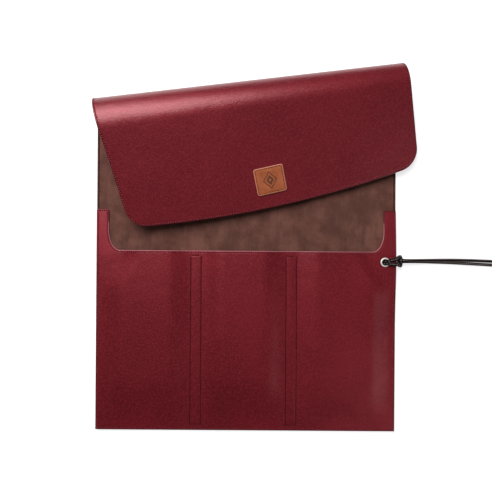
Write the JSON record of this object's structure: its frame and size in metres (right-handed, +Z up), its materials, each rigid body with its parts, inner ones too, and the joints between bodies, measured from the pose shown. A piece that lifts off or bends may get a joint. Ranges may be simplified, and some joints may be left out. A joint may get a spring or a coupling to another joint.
{
  "type": "chef knife roll",
  "caption": "Open leather knife roll lying flat, with a wide slanted flap rolled over, scooped blade pockets, suede lining, label patch and a cord tied through an eyelet.",
  "frame": {"origin": "on the underside of the back panel, on its middle line, 210 mm above the hem, where the leather lies on the table", "axes": "+X along the hem towards the eyelet's side, +Y from the hem towards the fold, +Z up"},
  "size_m": [0.5671, 0.5095, 0.0608],
  "materials": {
    "shell_leather": "burgundy, fine grain, soft sheen",
    "lining_suede": "brown suede, matt nap",
    "pocket_leather": "burgundy, fine grain, soft sheen",
    "patch_leather": "tan, smooth, debossed",
    "eyelet_metal": "pale, polished",
    "cord_braid": "dark brown braid with light flecks"
  },
  "bodies": {
    "root": {"outer_shell": "shell_leather", "lining": "lining_suede", "pocket_panel": "pocket_leather", "label_patch": "patch_leather", "eyelet": "eyelet_metal", "cord_hitch": "cord_braid", "cord_strand_lower": "cord_braid", "cord_strand_upper": "cord_braid"}
  },
  "joints": []
}
